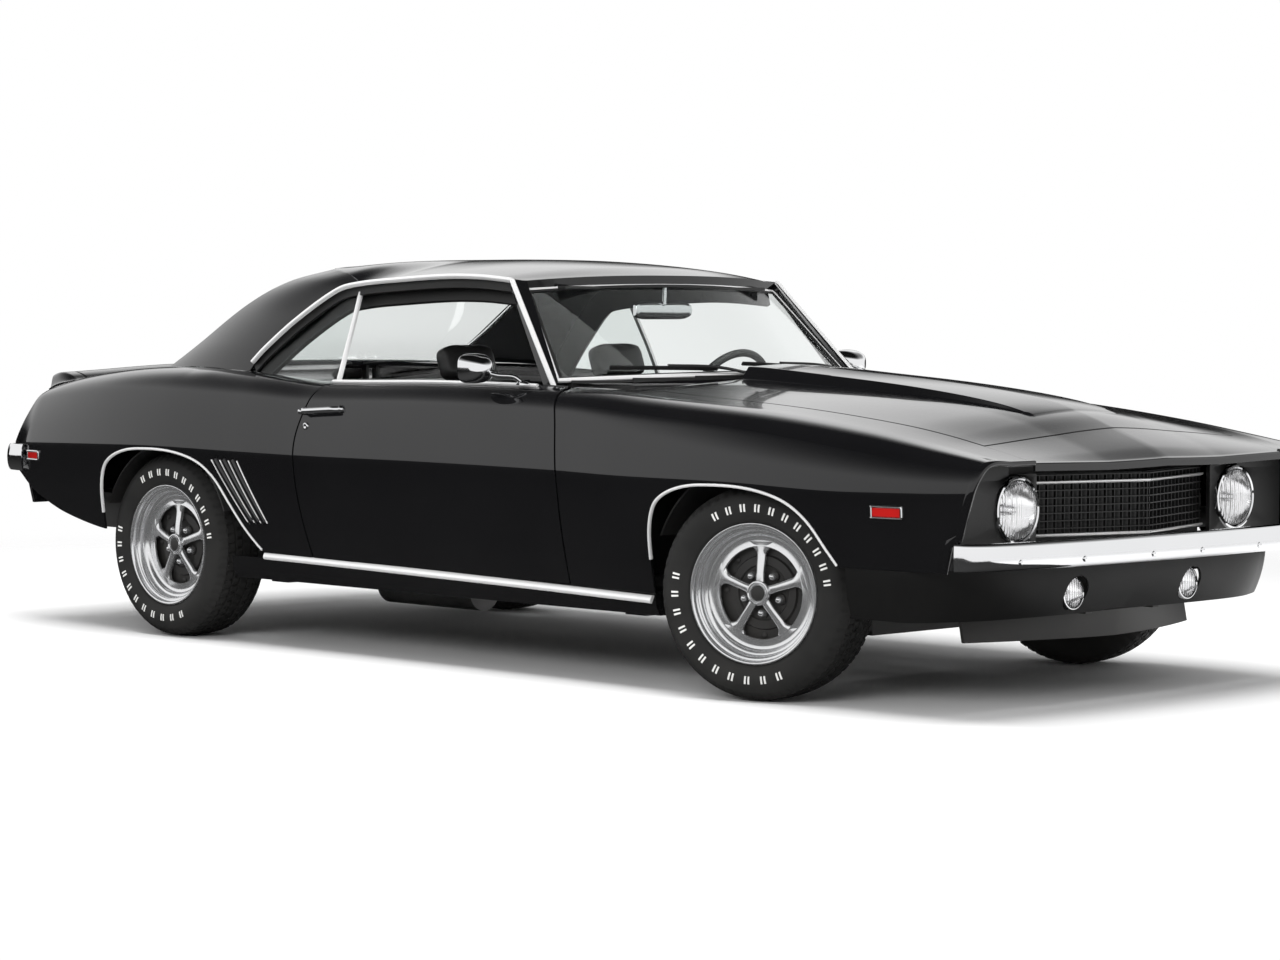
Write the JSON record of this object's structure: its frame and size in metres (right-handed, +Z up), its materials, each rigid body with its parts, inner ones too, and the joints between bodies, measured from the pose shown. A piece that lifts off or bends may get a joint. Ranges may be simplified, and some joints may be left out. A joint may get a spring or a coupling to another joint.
{
  "type": "two-door hardtop coupe car",
  "caption": "Long-hood two-door hardtop coupe with opening hood, doors and deck lid, steered front wheels, chrome bumpers and spoked wheels.",
  "frame": {"origin": "on the floor, below the middle of the car's length and width", "axes": "+X ahead, +Y to the car's left, +Z up"},
  "size_m": [4.724, 1.912, 1.312],
  "materials": {
    "body_paint": "gloss black paint",
    "black_metal": "satin black",
    "chrome": "polished chrome",
    "glass": "clear glass",
    "lamp_glass": "ribbed lamp glass",
    "red_lens": "red lens",
    "vinyl": "black vinyl",
    "dash_plastic": "grained black",
    "engine_iron": "painted iron",
    "exhaust_steel": "dull steel",
    "tyre": "black rubber"
  },
  "bodies": {
    "body": {"floor_pan": "black_metal", "rockers": "body_paint", "cowl": "black_metal", "front_fenders": "body_paint", "nose": "body_paint", "headlamp_bezels": "black_metal", "grille": "black_metal", "front_lamps": "lamp_glass", "front_bumper": "chrome", "front_valance": "body_paint", "quarter_panels": "body_paint", "roof": "body_paint", "parcel_shelf": "black_metal", "tail_panel": "body_paint", "tail_lamps": "red_lens", "rear_bumper": "chrome", "windshield": "glass", "rear_window": "glass", "quarter_glass": "glass", "wipers": "black_metal", "seats": "vinyl", "dashboard": "dash_plastic", "steering_column": "black_metal", "inner_mirror": "chrome", "engine": "engine_iron", "front_subframe": "black_metal", "wheel_houses": "black_metal", "control_arms": "black_metal", "rear_axle": "black_metal", "leaf_springs": "black_metal", "driveshaft": "black_metal", "exhaust": "exhaust_steel", "fuel_tank": "exhaust_steel"},
    "hood": {"hood": "body_paint"},
    "deck_lid": {"deck_lid": "body_paint"},
    "door_left": {"door_left": "body_paint", "mirror_left": "chrome"},
    "door_right": {"door_right": "body_paint", "mirror_right": "chrome"},
    "steering_wheel": {"steering_wheel": "dash_plastic"},
    "knuckle_left": {"knuckle_left": "black_metal"},
    "knuckle_right": {"knuckle_right": "black_metal"},
    "wheel_front_left": {"wheel_front_left": "chrome", "tyre_front_left": "tyre"},
    "wheel_front_right": {"wheel_front_right": "chrome", "tyre_front_right": "tyre"},
    "wheel_rear_left": {"wheel_rear_left": "chrome", "tyre_rear_left": "tyre"},
    "wheel_rear_right": {"wheel_rear_right": "chrome", "tyre_rear_right": "tyre"}
  },
  "joints": [
    {"name": "hood_hinge", "type": "hinge", "parent": "body", "child": "hood", "pos_m": [0.765, 0, 0.88882], "axis": [0, -1, 0], "range_deg": [0, 50]},
    {"name": "deck_hinge", "type": "hinge", "parent": "body", "child": "deck_lid", "pos_m": [-1.526, 0, 0.92938], "axis": [0, 1, 0], "range_deg": [0, 70]},
    {"name": "door_left_hinge", "type": "hinge", "parent": "body", "child": "door_left", "pos_m": [0.73, 0.87, 0.571], "axis": [0, 0, -1], "range_deg": [0, 65]},
    {"name": "door_right_hinge", "type": "hinge", "parent": "body", "child": "door_right", "pos_m": [0.73, -0.87, 0.571], "axis": [0, 0, 1], "range_deg": [0, 65]},
    {"name": "steer_left", "type": "hinge", "parent": "body", "child": "knuckle_left", "pos_m": [1.425, 0.734, 0.32], "axis": [0, 0, 1], "range_deg": [-47, 17]},
    {"name": "steer_right", "type": "hinge", "parent": "body", "child": "knuckle_right", "pos_m": [1.425, -0.734, 0.32], "axis": [0, 0, 1], "range_deg": [-47, 17]},
    {"name": "steering_wheel_turn", "type": "hinge", "parent": "body", "child": "steering_wheel", "pos_m": [0.19, 0.37, 0.83], "axis": [-0.9135, 0, 0.4067], "range_deg": [-752, 272]},
    {"name": "spin_front_left", "type": "hinge", "parent": "knuckle_left", "child": "wheel_front_left", "pos_m": [1.41568, 0.76877, 0.32], "axis": [-0.2588, 0.9659, 0], "continuous": true},
    {"name": "spin_front_right", "type": "hinge", "parent": "knuckle_right", "child": "wheel_front_right", "pos_m": [1.43432, -0.76877, 0.32], "axis": [-0.2588, 0.9659, 0], "continuous": true},
    {"name": "spin_rear_left", "type": "hinge", "parent": "body", "child": "wheel_rear_left", "pos_m": [-1.318, 0.77, 0.32], "axis": [0, 1, 0], "continuous": true},
    {"name": "spin_rear_right", "type": "hinge", "parent": "body", "child": "wheel_rear_right", "pos_m": [-1.318, -0.77, 0.32], "axis": [0, 1, 0], "continuous": true}
  ],
  "couplings": [
    {"joint": "steer_right", "follows": "steer_left", "ratio": 1},
    {"joint": "steering_wheel_turn", "follows": "steer_left", "ratio": 16}
  ]
}
